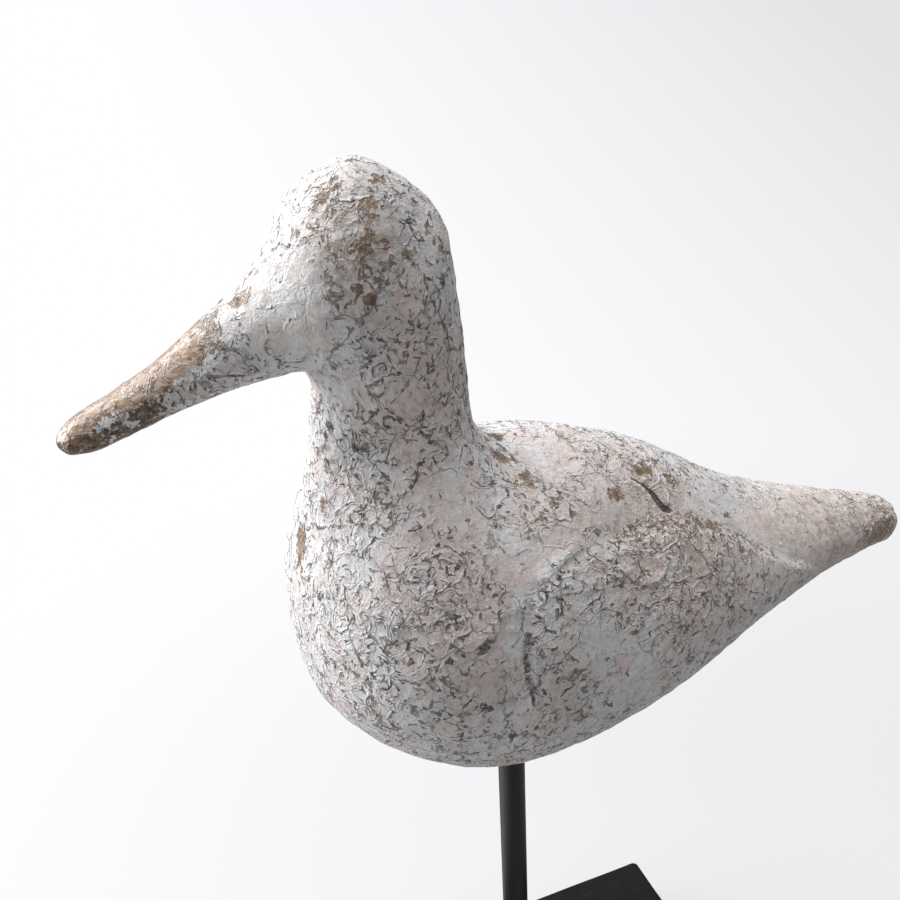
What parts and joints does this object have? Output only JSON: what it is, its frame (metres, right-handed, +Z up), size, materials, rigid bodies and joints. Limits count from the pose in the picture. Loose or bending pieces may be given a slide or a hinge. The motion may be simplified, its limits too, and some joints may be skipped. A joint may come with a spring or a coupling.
{
  "type": "bird figurine",
  "caption": "Carved shorebird with a long straight bill, chalky flaking paint, held upright on a thin black rod in a flat rectangular black base.",
  "frame": {"origin": "middle of the base's flat underside, on the rod's axis", "axes": "+Z up along the rod, the bill points along -X and the tail along +X, Y across the bird"},
  "size_m": [0.2367, 0.0902, 0.3077],
  "materials": {
    "whitewashed_wood": "thick cracked and flaking chalk paint in grey white over glossy ochre brown lacquer, worn at the bill, crown, breast and wing edge",
    "black_rod": "satin black paint on a round steel rod",
    "black_base": "black paint, brushed on and slightly rubbed, satin"
  },
  "bodies": {
    "root": {"bird": "whitewashed_wood", "rod": "black_rod", "base": "black_base"}
  },
  "joints": []
}
